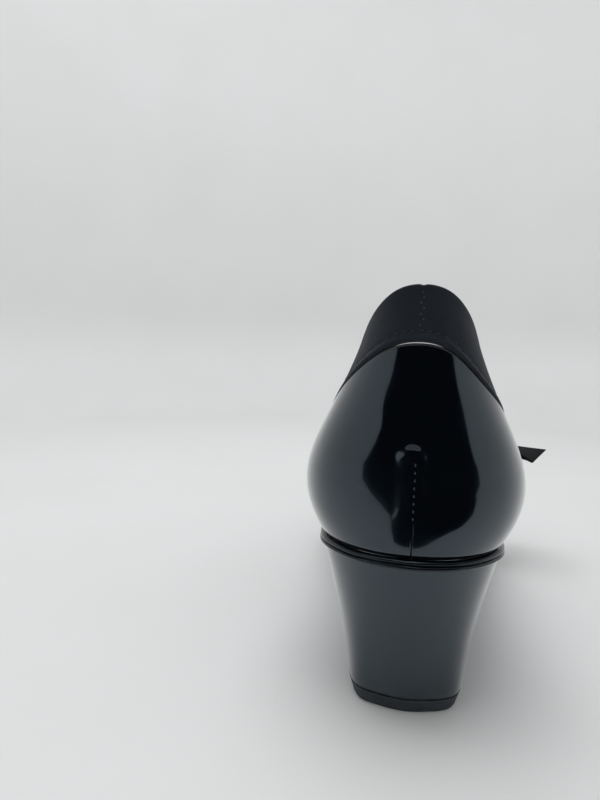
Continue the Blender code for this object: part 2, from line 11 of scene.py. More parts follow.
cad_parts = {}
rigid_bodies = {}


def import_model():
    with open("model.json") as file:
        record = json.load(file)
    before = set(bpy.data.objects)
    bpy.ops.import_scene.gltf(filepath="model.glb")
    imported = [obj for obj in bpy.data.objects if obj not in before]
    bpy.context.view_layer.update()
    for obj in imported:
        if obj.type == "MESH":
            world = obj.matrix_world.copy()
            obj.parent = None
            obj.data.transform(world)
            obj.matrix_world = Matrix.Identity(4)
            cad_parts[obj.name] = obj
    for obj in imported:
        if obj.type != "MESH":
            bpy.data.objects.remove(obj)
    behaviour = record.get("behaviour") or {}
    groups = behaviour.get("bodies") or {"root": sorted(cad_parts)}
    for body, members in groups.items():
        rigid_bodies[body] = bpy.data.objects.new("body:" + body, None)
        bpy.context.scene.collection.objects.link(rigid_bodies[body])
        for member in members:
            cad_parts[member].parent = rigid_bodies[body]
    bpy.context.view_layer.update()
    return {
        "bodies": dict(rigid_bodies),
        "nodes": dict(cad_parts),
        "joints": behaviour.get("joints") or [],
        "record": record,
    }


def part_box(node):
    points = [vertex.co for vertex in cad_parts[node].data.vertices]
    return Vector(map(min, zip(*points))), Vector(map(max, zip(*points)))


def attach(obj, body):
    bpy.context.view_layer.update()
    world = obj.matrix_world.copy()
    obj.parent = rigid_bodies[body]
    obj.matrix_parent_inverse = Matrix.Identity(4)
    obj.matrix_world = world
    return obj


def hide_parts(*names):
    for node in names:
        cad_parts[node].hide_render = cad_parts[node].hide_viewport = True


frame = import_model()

MM = 0.001
GAP = 0.3 * MM

# The shoe's own sizes, as the model was drawn
SHOE_LENGTH = 247 * MM
SEAT_WIDTH = 60 * MM
WAIST_WIDTH = 58 * MM
BALL_WIDTH = 88 * MM
HEEL_BASE_WIDTH = 38 * MM
WAIST_BASE_WIDTH = 50 * MM
BALL_BASE_WIDTH = 89 * MM
OPENING_WIDTH = 58 * MM
SEAT_HEIGHT = 49.8 * MM
COLLAR_HEIGHT = 132 * MM
THROAT_HEIGHT = 66 * MM
HEEL_SOLE = 4.8 * MM
FOREFOOT_SOLE = 5.4 * MM
TOE_SPRING = 7 * MM
SPRING_START = 0.70
WEDGE_FRONT = 0.68
UPPER_WALL = 1.8 * MM
COLLAR_WALL = 1.6 * MM
BAND_WIDTH = 17 * MM
HEM_DEPTH = 3.1 * MM
BELLY_REACH = 16 * MM
BELLY_RISE = 20 * MM
CROWN_REACH = 40 * MM
CROWN_DROP = 34 * MM
DART_WIDTH = 7 * MM
DART_TOP = 85 * MM
DART_HEIGHT = 0.9 * MM
RAND_HEIGHT = 2.8 * MM
RAND_PROUD = 1.1 * MM
RAND_DEPTH = 3.0 * MM
INSOLE_THICKNESS = 3.0 * MM
SOLE_DRAFT = 1.5 * MM
SOLE_EDGE_RADIUS = 0.7 * MM
WEDGE_HOLLOW = 0.6 * MM
BOW_SIDE = 16 * MM
BOW_ALONG = 0.71
BOW_HALF_LENGTH = 54 * MM
LOOP_WIDTH_KNOT = 12 * MM
LOOP_WIDTH_END = 27 * MM
LOOP_HEIGHT = 5.5 * MM
RIBBON = 1.1 * MM
KNOT_LENGTH = 11 * MM
KNOT_WIDTH = 14 * MM
KNOT_HEIGHT = 8 * MM
TAIL_LENGTH = 27 * MM
TAIL_WIDTH = 13 * MM
TAIL_SLANT = 3 * MM
TAIL_LIFT = 0.2 * MM
TAIL_SPREAD = math.radians(68)
BOW_RISE = 1.2 * MM
BOW_TILT = math.radians(15)
LOOP_TWIST = 0.21

# One row for each station round the shoe, from the heel along the outer side to the toe and
# back along the inner side, in shares of the sizes above: seam x and y, tread x and y, top x, y
# and rise, belly out and up, crown out and down, width of the stretch band
STATIONS = (
    (0, 0.003, 0, 0.04, 0, 0.04, 1, 0.18, 1.15, 0.09, 1.04, 1),
    (0.48, 0.017, 0.49, 0.047, 0.3, 0.05, 0.968, 0.38, 1.15, 0.12, 0.98, 1.08),
    (0.83, 0.058, 0.89, 0.068, 0.53, 0.084, 0.855, 0.78, 1.1, 0.18, 0.84, 1.36),
    (0.97, 0.13, 0.98, 0.135, 0.69, 0.146, 0.665, 1.06, 1.05, 0.21, 0.72, 1.26),
    (1.03, 0.25, 0.86, 0.25, 0.87, 0.235, 0.47, 0.92, 0.98, 0.17, 0.62, 0.84),
    (1.1, 0.385, 1.08, 0.388, 0.98, 0.345, 0.32, 0.56, 0.85, 0.1, 0.6, 0.66),
    (0.89, 0.545, 0.84, 0.545, 1.01, 0.45, 0.195, 0.38, 0.95, 0.15, 0.47, 0.64),
    (1, 0.668, 0.99, 0.668, 0.86, 0.545, 0.095, 0.31, 1.05, 0.35, 0.41, 0.6),
    (0.93, 0.81, 0.94, 0.81, 0.56, 0.6, 0.03, 0.25, 1, 0.62, 0.41, 0.55),
    (0.65, 0.928, 0.66, 0.93, 0.26, 0.62, 0.006, 0.28, 0.95, 0.9, 0.5, 0.52),
    (-0.03, 0.996, -0.03, 1, -0.03, 0.627, 0, 0.31, 0.95, 1.06, 0.58, 0.52),
    (-0.66, 0.938, -0.67, 0.94, -0.32, 0.62, 0.006, 0.28, 0.95, 0.9, 0.5, 0.52),
    (-0.88, 0.828, -0.89, 0.828, -0.62, 0.597, 0.035, 0.25, 1, 0.62, 0.41, 0.55),
    (-0.98, 0.712, -0.98, 0.712, -0.88, 0.54, 0.105, 0.28, 1.05, 0.33, 0.41, 0.6),
    (-0.86, 0.585, -0.82, 0.585, -0.98, 0.45, 0.205, 0.31, 0.95, 0.15, 0.47, 0.64),
    (-0.94, 0.425, -0.95, 0.425, -0.94, 0.345, 0.335, 0.44, 0.9, 0.1, 0.6, 0.66),
    (-0.86, 0.27, -0.77, 0.27, -0.84, 0.235, 0.48, 0.95, 1, 0.19, 0.62, 0.84),
    (-0.97, 0.138, -0.99, 0.138, -0.69, 0.146, 0.665, 1.06, 1.05, 0.22, 0.72, 1.23),
    (-0.84, 0.06, -0.84, 0.065, -0.53, 0.084, 0.855, 0.78, 1.1, 0.18, 0.84, 1.13),
    (-0.49, 0.017, -0.47, 0.047, -0.3, 0.05, 0.968, 0.38, 1.15, 0.12, 0.98, 1.02),
)
HEEL = (SEAT_WIDTH, HEEL_BASE_WIDTH)
WAIST = (WAIST_WIDTH, WAIST_BASE_WIDTH)
BALL = (BALL_WIDTH, BALL_BASE_WIDTH)
WIDTHS = [HEEL] * 4 + [WAIST] * 2 + [BALL] * 9 + [WAIST] * 2 + [HEEL] * 3
BOTTOM_PROFILE = (
    (-0.05, 1), (0, 1), (0.08, 0.988), (0.16, 0.95), (0.24, 0.865), (0.32, 0.725),
    (0.4, 0.545), (0.48, 0.36), (0.56, 0.195), (0.62, 0.1), (0.68, 0.035), (0.74, 0.006),
    (0.8, 0), (0.9, 0), (1, 0), (1.05, 0))


# Curves and surfaces of the last

def cubic_through(knots, values, where, period=None):
    """A smooth cubic curve through the values at the knots, closed when it has a period."""
    count = len(knots)
    rows = np.zeros((count, count))
    right = np.zeros((count,) + values.shape[1:])
    if period:
        ahead = np.append(np.diff(knots), period - knots[-1] + knots[0])
        rises = (np.roll(values, -1, axis=0) - values) / ahead[:, None]
    else:
        ahead = np.diff(knots)
        rises = np.diff(values, axis=0) / ahead[:, None]
        rows[0, 0] = rows[-1, -1] = 1
        right[0], right[-1] = rises[0], rises[-1]
    for i in range(count) if period else range(1, count - 1):
        before = ahead[i - 1]
        rows[i, i - 1] += ahead[i]
        rows[i, i] += 2 * (before + ahead[i])
        rows[i, (i + 1) % count] += before
        right[i] = 3 * (ahead[i] * rises[i - 1] + before * rises[i])
    slopes = np.linalg.solve(rows, right)
    where = np.asarray(where, float)
    if period:
        where = knots[0] + np.mod(where - knots[0], period)
        knots = np.append(knots, knots[0] + period)
        values = np.vstack([values, values[:1]])
        slopes = np.vstack([slopes, slopes[:1]])
    piece = np.clip(np.searchsorted(knots, where, side="right") - 1, 0, len(knots) - 2)
    span = (knots[piece + 1] - knots[piece])[:, None]
    t = (where - knots[piece])[:, None] / span
    low, high = values[piece], values[piece + 1]
    return (low * (1 + 2 * t) * (1 - t) ** 2 + high * t * t * (3 - 2 * t)
            + span * (slopes[piece] * t * (1 - t) ** 2 - slopes[piece + 1] * t * t * (1 - t)))


def station_values():
    """The table in metres, one row for each station."""
    rows = []
    for (seam, tread), shares in zip(WIDTHS, STATIONS, strict=True):
        sizes = (seam / 2, SHOE_LENGTH, tread / 2, SHOE_LENGTH, OPENING_WIDTH / 2, SHOE_LENGTH,
                 COLLAR_HEIGHT - THROAT_HEIGHT, BELLY_REACH, BELLY_RISE, CROWN_REACH, CROWN_DROP,
                 BAND_WIDTH)
        rows.append(np.array(shares) * sizes)
        rows[-1][6] += THROAT_HEIGHT
    return np.array(rows)


VALUES = station_values()
STEPS_BETWEEN = np.linalg.norm(np.roll(VALUES[:, :2], -1, axis=0) - VALUES[:, :2], axis=1)
GIRTH = STEPS_BETWEEN.sum()
KNOTS = np.append(0, np.cumsum(STEPS_BETWEEN)[:-1])


def stations_at(girths):
    """Every column of the table at distances along the seam from the centre back."""
    return cubic_through(KNOTS, VALUES, girths, GIRTH)


def toe_spring(y):
    """How far the sole's ground side has risen at a distance from the back."""
    start = SPRING_START * SHOE_LENGTH
    share = np.clip((np.asarray(y) - start) / (SHOE_LENGTH - start), 0, 1.2)
    return TOE_SPRING * share ** 2


def seat_level(y):
    """The height of the last's bottom, which the wedge and the forefoot sole carry."""
    profile = np.array(BOTTOM_PROFILE)
    drop = cubic_through(profile[:, 0] * SHOE_LENGTH, profile[:, 1:], np.ravel(y))
    drop = drop.reshape(np.shape(y))
    return FOREFOOT_SOLE + drop * (SEAT_HEIGHT - FOREFOOT_SOLE) + toe_spring(y)


def unit(vectors):
    return vectors / np.linalg.norm(vectors, axis=-1, keepdims=True)


def out_of(along):
    """Unit vectors in plan, out of a line that runs along."""
    return unit(np.stack([along[:, 1], -along[:, 0]], axis=1))


def seam_normals(girths):
    """Unit vectors in plan, out of the seam."""
    reach = 0.5 * MM
    return out_of(stations_at(girths + reach)[:, :2] - stations_at(girths - reach)[:, :2])


UPPER_LIFT = RAND_HEIGHT + 2 * GAP


def wall_handles(girths):
    """The four handles of each line up the wall, from the seam to the topline."""
    at = stations_at(girths)
    out = seam_normals(girths)
    foot = np.column_stack([at[:, 0], at[:, 1], seat_level(at[:, 1]) + UPPER_LIFT])
    top = at[:, 4:7]
    belly = foot + np.column_stack([out * at[:, 7:8], at[:, 8]])
    crown = top + np.column_stack([out * at[:, 9:10], -at[:, 10]])
    return foot, belly, crown, top


def on_lines(handles, t):
    """Points of the lines at shares t, one row of shares for each line."""
    foot, belly, crown, top = (handle[:, None] for handle in handles)
    t = t[..., None]
    return (foot * (1 - t) ** 3 + 3 * belly * t * (1 - t) ** 2
            + 3 * crown * t * t * (1 - t) + top * t ** 3)


class Wall:
    """The last's surface as lines up from the seam, one line for each girth."""

    def __init__(self, girths):
        self.girths = girths
        self.handles = wall_handles(girths)
        self.beside = [wall_handles(girths + side) for side in (0.3 * MM, -0.3 * MM)]
        self.samples = np.linspace(0, 1, 257)
        lines = on_lines(self.handles, np.tile(self.samples, (len(girths), 1)))
        self.run = np.zeros(lines.shape[:2])
        self.run[:, 1:] = np.cumsum(np.linalg.norm(np.diff(lines, axis=1), axis=2), axis=1)
        self.total = self.run[:, -1]
        self.band_edge = self.total - stations_at(girths)[:, 11]

    def at(self, lengths):
        """Points and outward directions at lengths up each line."""
        t = np.array([np.interp(lengths[i], self.run[i], self.samples)
                      for i in range(len(self.girths))])
        low = np.maximum(t - 0.002, 0)
        high = np.minimum(t + 0.002, 1)
        up = on_lines(self.handles, high) - on_lines(self.handles, low)
        side = on_lines(self.beside[0], t) - on_lines(self.beside[1], t)
        return on_lines(self.handles, t), unit(np.cross(side, up))


# From the back of the seat, where the shoe is drawn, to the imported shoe's origin
LAST = Wall(np.linspace(0, GIRTH, 1200, endpoint=False))
LAST_POINTS, _ = LAST.at(np.linspace(0, 1, 41)[None] * (LAST.band_edge - GAP / 2)[:, None])
SHIFT = np.array([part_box("upper")[0].x - LAST_POINTS[..., 0].min(),
                  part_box("upper")[0].y - LAST_POINTS[..., 1].min(), 0.0])


# Meshes

def add_object(name, data):
    """Puts a mesh, a lamp or a camera into the scene."""
    made = bpy.data.objects.new(name, data)
    bpy.context.scene.collection.objects.link(made)
    return made


def new_mesh(name, points, faces=()):
    mesh = bpy.data.meshes.new(name)
    mesh.from_pydata(np.asarray(points).tolist(), [], faces)
    return mesh


def on_shoe(name, mesh):
    """Puts a mesh on the shoe."""
    made = add_object(name, mesh)
    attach(made, "root")
    return made


def finish_mesh(name, mesh, materials, node, angle=50):
    """Shades a mesh, gives it its materials and lets it stand for its solid."""
    form = bmesh.new()
    form.from_mesh(mesh)
    bmesh.ops.remove_doubles(form, verts=form.verts, dist=0.002 * MM)
    bmesh.ops.recalc_face_normals(form, faces=form.faces)
    form.to_mesh(mesh)
    form.free()
    mesh.shade_smooth()
    mesh.set_sharp_from_angle(angle=math.radians(angle))
    for material in materials:
        mesh.materials.append(material)
    made = on_shoe(name, mesh)
    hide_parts(node)


def ring_quads(rings, size, around=True, across=True):
    """Quads between neighbouring rings of points, closed round the rings and across them."""
    ring = np.arange(rings if around else rings - 1)
    spot = np.arange(size if across else size - 1)
    i, j = np.meshgrid(ring, spot, indexing="ij")
    k, m = (i + 1) % rings, (j + 1) % size
    quads = np.stack([i * size + j, i * size + m, k * size + m, k * size + j], axis=-1)
    return quads.reshape(-1, 4), (i.ravel(), j.ravel())


def ring_piece(name, sections, materials, node, lining=None, along=None, ends=False,
               angle=50):
    """A piece from rings of points, closed in a round or with flat ends. In a round, columns
    marked in lining take the second material, and along becomes a UV map in millimetres."""
    rings, size = sections.shape[:2]
    quads, (i, j) = ring_quads(rings, size, around=not ends)
    faces = quads.tolist()
    if ends:
        faces.append(list(range(size)))
        faces.append(list(range((rings - 1) * size, rings * size))[::-1])
    mesh = new_mesh(name, sections.reshape(-1, 3) + SHIFT, faces)
    if lining is not None:
        kinds = mesh.attributes.new("material_index", "INT", "FACE")
        kinds.data.foreach_set("value", np.asarray(lining, int)[j])
    if along is not None:
        uv = along.reshape(-1, 2)[quads] / MM
        uv[i == rings - 1, 2:, 0] += GIRTH / MM
        mesh.uv_layers.new(name="along").uv.foreach_set("vector", uv.ravel())
    finish_mesh(name, mesh, materials, node, angle)


def fine_girths(count, crowding=0.88):
    """Distances round the seam that crowd towards the centre back, where the dart is."""
    share = np.arange(count) / count
    return GIRTH * (share - crowding * np.sin(2 * math.pi * share) / (2 * math.pi))


def crowded(count, peaks):
    """Shares from 0 to 1 that crowd about the given places: (place, width, weight)."""
    fine = np.linspace(0, 1, 2001)
    density = 1 + sum(weight * hill(fine, place, width) for place, width, weight in peaks)
    total = np.append(0, np.cumsum((density[1:] + density[:-1]) / 2))
    return np.interp(np.linspace(0, 1, count), total / total[-1], fine)


def smooth_step(value):
    value = np.clip(value, 0, 1)
    return value * value * (3 - 2 * value)


def hill(value, place, width):
    """A soft rise of height one about a place."""
    return np.exp(-((value - place) / width) ** 2)


def bump(points, centre, size):
    """A soft round rise about a centre, with its own size along each axis."""
    return np.prod(hill(points, np.array(centre) * MM, np.array(size) * MM), axis=-1)


def wall_section(low, top, thickness, shares, back_steps):
    """A wall's section up its face, over its edge and down its back: lengths up the wall,
    offsets from its face, and which of them are on the face."""
    fold = thickness / 2
    height = top - fold - low
    turn = np.linspace(0, math.pi, 11)[1:-1]
    back = np.linspace(1, 0, back_steps)
    lengths = np.concatenate([low[:, None] + height[:, None] * shares,
                              (low + height)[:, None] + fold * np.sin(turn),
                              low[:, None] + height[:, None] * back], axis=1)
    offsets = np.concatenate([0 * shares, fold * (np.cos(turn) - 1), 0 * back - thickness])
    return lengths, offsets, offsets > -thickness * 0.5


# Materials

def from_hex(text):
    """A linear colour from the sRGB hex value that the eye sees."""
    shares = [int(text[i:i + 2], 16) / 255 for i in (1, 3, 5)]
    linear = [c / 12.92 if c <= 0.04045 else ((c + 0.055) / 1.055) ** 2.4 for c in shares]
    return (*linear, 1)


def add_node(tree, kind, settings=None, **links):
    """Adds one node, with its settings, socket values and links. A link names the output of
    another node, or the node itself for its first output."""
    node = tree.nodes.new(kind)
    for name, value in (settings or {}).items():
        setattr(node, name, value)
    for name, value in links.items():
        socket = node.inputs[int(name[1:])] if name[1:].isdigit() else node.inputs[name]
        if isinstance(value, bpy.types.Node):
            value = value.outputs[0]
        if isinstance(value, bpy.types.NodeSocket):
            tree.links.new(value, socket)
        else:
            socket.default_value = value
    return node


class Surface:
    """A material with a principled shader, and the nodes that feed its colour and relief."""

    def __init__(self, name, colour, **values):
        self.material = bpy.data.materials.new(name)
        self.material.use_nodes = True
        self.tree = self.material.node_tree
        self.shader = self.tree.nodes["Principled BSDF"].inputs
        self.shader["Base Color"].default_value = from_hex(colour)
        for socket, value in values.items():
            self.shader[socket.replace("_", " ")].default_value = value

    def place(self):
        return add_node(self.tree, "ShaderNodeTexCoord").outputs["Object"]

    def noise(self, scale, detail, **more):
        return add_node(self.tree, "ShaderNodeTexNoise", Vector=self.place(), Scale=scale,
                        Detail=detail, **more)

    def bands(self, place, scale, way, **more):
        """Even waves across the place, along the axis named in way."""
        return add_node(self.tree, "ShaderNodeTexWave", {"bands_direction": way}, Vector=place,
                        Scale=scale, **more).outputs["Fac"]

    def weave(self, wales, courses):
        return add_node(self.tree, "ShaderNodeMath", {"operation": "MULTIPLY"}, _0=wales,
                        _1=courses)

    def relief(self, height, strength, distance, **under):
        """Lets the shader see a height in the surface, on top of the relief under it."""
        made = add_node(self.tree, "ShaderNodeBump", Strength=strength, Distance=distance,
                        Height=height, **under)
        self.tree.links.new(made.outputs["Normal"], self.shader["Normal"])
        return made

    def two_tones(self, mask, dark, light, low=0.0, high=1.0):
        """Lets the colour run from dark to light while the mask runs from low to high."""
        tint = add_node(self.tree, "ShaderNodeValToRGB", Fac=mask)
        for stop, place, colour in zip(tint.color_ramp.elements, (low, high), (dark, light)):
            stop.position = place
            stop.color = from_hex(colour)
        self.tree.links.new(tint.outputs["Color"], self.shader["Base Color"])
        return self.material


def patent_leather(name="patent_leather", gloss=1.0, crumple=1.0):
    """Corrected leather under a thick clear film: a blue-black mirror with a faint waviness,
    fine orange peel, dust and rubbed spots that only the gloss shows."""
    film = Surface(name, "#06080b", Roughness=0.16, IOR=1.5, Coat_Weight=gloss,
                   Coat_Roughness=0.035, Coat_IOR=1.47, Specular_IOR_Level=0.5 * gloss,
                   Specular_Tint=(0.48, 0.77, 1.0, 1.0))
    # Film waviness about 9 mm long, and orange peel about 1.4 mm long
    wave = film.relief(film.noise(110.0, 1.0), 0.35, 0.00016 * crumple)
    peel = film.relief(film.noise(700.0, 2.0), 0.30, 0.000012, Normal=wave)
    film.tree.links.new(peel.outputs["Normal"], film.shader["Coat Normal"])
    # Rubbed and dusty patches about 20 mm across make the gloss below the film vary
    rub = film.noise(48.0, 6.0)
    spread = add_node(film.tree, "ShaderNodeMapRange", Value=rub, _1=0.35, _2=0.75, _3=0.10,
                      _4=0.26)
    film.tree.links.new(spread.outputs["Result"], film.shader["Roughness"])
    return film.two_tones(rub, "#030509", "#0a0e13")


def stretch_knit():
    """Matt stretch knit bonded to foam: fine courses across, a soft nap and no gloss."""
    knit = Surface("stretch_knit", "#1a1d22", Roughness=0.92, Sheen_Weight=0.10,
                   Sheen_Roughness=0.5, Specular_IOR_Level=0.25)
    girth = add_node(knit.tree, "ShaderNodeUVMap", {"uv_map": "along"})
    # The UV map is in millimetres. The real wales are 0.35 mm apart and are drawn 0.6 mm
    weave = knit.weave(knit.bands(girth, 0.52, "X", Distortion=0.6, Detail=1.0),
                       knit.bands(girth, 0.60, "Y", Distortion=0.6, Detail=1.0))
    threads = knit.relief(weave, 0.5, 0.00012)
    knit.relief(knit.noise(900.0, 3.0), 0.35, 0.0001, Normal=threads)
    # Handled cloth is unevenly dark over patches about 15 mm across
    return knit.two_tones(knit.noise(65.0, 4.0), "#161b22", "#20272f", 0.3, 0.75)


def moulded_rubber():
    """Moulded rubber sole: matt charcoal with a fine grit and dusty scuffs."""
    rubber = Surface("moulded_rubber", "#24292e", Roughness=0.62, Specular_IOR_Level=0.4)
    rubber.relief(rubber.noise(1500.0, 3.0), 0.4, 0.00005)
    scuff = rubber.noise(160.0, 8.0, Roughness=0.7)
    return rubber.two_tones(scuff, "#23292f", "#3a4148", 0.42, 0.78)


def lining_leather(name, colour, light):
    """Smooth black lining leather: fine pores about 1 mm apart and a low dull sheen."""
    leather = Surface(name, colour, Roughness=0.55)
    pores = add_node(leather.tree, "ShaderNodeTexVoronoi", {"feature": "DISTANCE_TO_EDGE"},
                     Vector=leather.place(), Scale=900.0)
    leather.relief(pores.outputs["Distance"], 0.35, 0.00008)
    return leather.two_tones(leather.noise(40.0, 6.0), colour, light, 0.35, 0.8)


def waxed_thread(name, colour):
    """Waxed polyester thread: twisted strands about 0.25 mm apart with a soft shine."""
    thread = Surface(name, colour, Roughness=0.42)
    thread.relief(thread.bands(thread.place(), 1200.0, "DIAGONAL"), 0.4, 0.00006)
    return thread.material


def woven_ribbon():
    """Matt black ribbon: a dense even weave, 0.5 mm apart, with no gloss."""
    ribbon = Surface("woven_ribbon", "#0a0b0d", Roughness=0.9, Specular_IOR_Level=0.12,
                     Sheen_Weight=0.02, Sheen_Roughness=0.5)
    place = ribbon.place()
    weave = ribbon.weave(ribbon.bands(place, 630.0, "X"), ribbon.bands(place, 630.0, "Y"))
    ribbon.relief(weave, 0.5, 0.0001)
    return ribbon.material


PATENT = patent_leather()
ROLLED_PATENT = patent_leather("rolled_patent", gloss=0.45, crumple=3.0)
RIBBON_CLOTH = woven_ribbon()
KNIT = stretch_knit()
RUBBER = moulded_rubber()
LINING = lining_leather("lining_leather", "#1b1c1f", "#26282b")
FOOTBED = lining_leather("footbed_leather", "#222326", "#303236")
SEAM_THREAD = waxed_thread("seam_thread", "#3a3f47")
EDGE_THREAD = waxed_thread("edge_thread", "#1d2127")


# The patent upper

def dart_relief(points):
    """The raised channel up the centre back: an arched tongue with a stitched groove down its
    middle. It stands proudest at its top and fades into the seat. Lengths here are in mm."""
    x, y, z = np.moveaxis(points / MM, -1, 0)
    half, top = DART_WIDTH / MM / 2, DART_TOP / MM
    away = np.hypot(x + 0.9, np.clip(z - (top - half), 0, None))
    tongue = smooth_step((half + 1.8 - away) / 3.0)
    fade = 0.04 + 0.40 * smooth_step((z - 62) / 14) + 0.56 * smooth_step((z - 77) / 6)
    groove = hill(x, 0, 0.40) * smooth_step((top - 2.6 - z) / 2.5)
    depth = 0.10 - 0.06 * smooth_step((z - 62) / 5)
    # Below the stitches the groove closes to a tight crease with a lip on its inner side
    lip = 0.06 * hill(x, -0.7, 0.5) * smooth_step((66 - z) / 5)
    behind = points[..., 1] < 0.1 * SHOE_LENGTH
    return (DART_HEIGHT * tongue * fade + (lip - groove * depth) * MM) * behind


# Soft dents and swells of the patent: place, size and how far the wall moves out, in mm
SOFT_FORMS = (
    ((-6.5, 8, 100), (5, 12, 5.5), -0.2), ((-8.5, 6, 92), (4.5, 12, 4), 0.12),
    ((0, 4, 88.5), (2.6, 12, 1.6), 0.1), ((-3.6, 2, 81), (1.2, 12, 6), -0.1),
    ((12, 8, 96), (8, 12, 9), -0.1), ((-20, 14, 78), (8, 12, 9), 0.12),
    ((9, 2, 62), (8, 12, 3.5), 0.14), ((-10, 2, 61), (8, 12, 3), 0.06),
    ((24, 20, 70), (8, 12, 10), -0.14), ((-27, 40, 72), (12, 16, 10), -0.22),
    ((29, 46, 70), (12, 18, 9), -0.25), ((30, 84, 52), (12, 10, 8), 0.2),
    ((-28, 84, 54), (12, 10, 8), 0.2), ((40, 150, 30), (10, 14, 8), 0.25),
    ((-38, 156, 30), (10, 14, 8), 0.22), ((4, 232, 24), (18, 10, 6), 0.15))

# Flex creases across the vamp: distance from the back, lean, depth and half width, in mm
FLEX_CREASES = ((171.0, 5.0, 0.16, 2.2), (178.5, 7.0, 0.22, 2.4), (187.0, 9.0, 0.13, 2.0))


def patent_relief(points):
    """Everything that stands out of or sinks into the smooth patent wall."""
    height = dart_relief(points)
    for centre, size, rise in SOFT_FORMS:
        height = height + rise * MM * bump(points, centre, size)
    x, y, z = np.moveaxis(points / MM, -1, 0)
    for place, lean, depth, width in FLEX_CREASES:
        line = place - lean * (x / 40) ** 2 * 2.2 + 0.8 * np.sin(x / 6 + place)
        side = smooth_step((abs(x) - 12) / 12) * smooth_step((46 - abs(x)) / 6)
        crease = 0.55 * hill(y, line + 2.0 * width, 1.3 * width) - hill(y, line, width)
        height = height + crease * depth * MM * side * smooth_step((z - 14) / 8)
    sway = (np.sin(x / 7.3 + z / 11.0) * np.sin(z / 8.1 - y / 13.0)
            + 0.6 * np.sin(y / 9.7 + 1.3) * np.sin(z / 5.9 + 0.4))
    return height + 0.02 * MM * sway


def make_upper():
    """The patent shell: its face with the dart and the folds, a turned top edge and a lining."""
    wall = Wall(fine_girths(430))
    edge = wall.band_edge - GAP / 2
    shares = crowded(128, ((0.0, 0.04, 3.0), (0.57, 0.07, 2.6), (1.0, 0.03, 5.0)))
    lengths, offsets, face = wall_section(0 * edge, edge, UPPER_WALL, shares, 34)
    points, out = wall.at(lengths)
    # The folded edge is a little fuller than the wall below it, and the seam edge turns in
    below = (edge[:, None] - lengths) / MM
    height = patent_relief(points) + 0.03 * MM * hill(below, 1.4, 1.4)
    height = (height - 0.45 * MM * hill(lengths, 0, 0.7 * MM)) * face
    sections = points + out * (offsets + height)[..., None]
    sections[:, 0, 2] -= 0.2 * MM
    sections[:, -1, 2] = sections[:, 0, 2]
    # The turned edge itself is painted matt, as the lining is
    glossy = offsets > -0.01 * MM
    ring_piece("upper_patent", sections, [PATENT, LINING], "upper",
               lining=np.append(~glossy[1:], False))


def make_collar():
    """The stretch band: it dips under the patent's edge and turns over at the opening."""
    wall = Wall(fine_girths(420))
    low = wall.band_edge + GAP / 2
    shares = crowded(54, ((0.0, 0.07, 2.5), (1.0, 0.05, 2.0)))
    lengths, offsets, face = wall_section(low, wall.total, COLLAR_WALL, shares, 16)
    points, out = wall.at(lengths)
    up = (lengths - low[:, None]) / MM
    down = (wall.total[:, None] - lengths) / MM
    x = points[..., 0] / MM
    behind = points[..., 1] < 0.12 * SHOE_LENGTH
    # A dip and a swell above the patent, a pressed centre seam, the sewn-down hem, a full
    # topline and the slack between stitches
    height = (0.28 * hill(up, 1.2, 1.0) - 0.20 * hill(up, 0, 0.5)
              + (0.08 * hill(x, 0, 1.8) - 0.10 * hill(x, 0, 0.5)) * behind
              - 0.10 * hill(up, HEM_DEPTH / MM, 0.6) + 0.10 * hill(down, 2.0, 2.0)
              + 0.08 * np.sin(wall.girths[:, None] / MM / 13.0) * np.sin(up / 6.0 + 1.0))
    sections = points + out * (offsets + height * MM * face)[..., None]
    sections[..., 2] -= 0.3 * MM * hill(x, 0, 0.8) * behind * hill(down, 0, 1.2)
    along = np.stack([np.broadcast_to(wall.girths[:, None], lengths.shape), lengths], axis=-1)
    ring_piece("collar_band", sections, [KNIT], "collar", along=along)


def make_rand():
    """The rolled strip: two soft ridges of patent over a cord, uneven as it was pulled round."""
    girths = np.linspace(0, GIRTH, 860, endpoint=False)
    at = stations_at(girths)
    out = seam_normals(girths)
    mm = girths / MM
    sway = 0.10 * np.sin(mm / 4.7) + 0.09 * np.sin(mm / 2.9 + 1.0) + 0.08 * np.sin(mm / 8.3 + 2)
    lift = 0.10 * np.sin(mm / 3.7 + 0.6) + 0.10 * np.sin(mm / 7.1 + 2.2)
    tall = RAND_HEIGHT / MM
    back = -RAND_DEPTH / MM
    split = 0.50 + 0.05 * np.sin(mm / 11.0)
    section = []
    for share in np.concatenate([[0.02], np.linspace(0.06, 0.94, 27), [0.98]]):
        below = share < split
        middle = np.where(below, split / 2, (1 + split) / 2)
        half = np.where(below, split / 2, (1 - split) / 2)
        ball = np.sqrt(np.clip(1 - ((share - middle) / half) ** 2, 0, 1))
        reach = RAND_PROUD / MM - 0.95 + np.where(below, 1.05, 0.92) * ball
        section.append((reach + sway * (0.4 + 0.6 * ball),
                        share * tall + lift * share * 0.8 + 0.10))
    section += [(back, tall), (back, 0.1)]
    sections = np.zeros((len(girths), len(section), 3))
    for i, (reach, up) in enumerate(section):
        sections[:, i, :2] = at[:, :2] + out * np.reshape(reach * MM, (-1, 1))
        sections[:, i, 2] = seat_level(at[:, 1]) + np.minimum(up, tall + 0.15) * MM + 0.1 * MM
    ring_piece("rand_strip", sections, [ROLLED_PATENT], "rand", angle=70)


# Heel, soles and footbed

SEAM = slice(0, 2)
TREAD = slice(2, 4)


def outline(columns, inset):
    """A finely sampled closed outline in plan, moved in by the inset."""
    line = stations_at(np.linspace(0, GIRTH, 5000, endpoint=False))[:, columns]
    return line - out_of(np.roll(line, -1, axis=0) - np.roll(line, 1, axis=0)) * inset


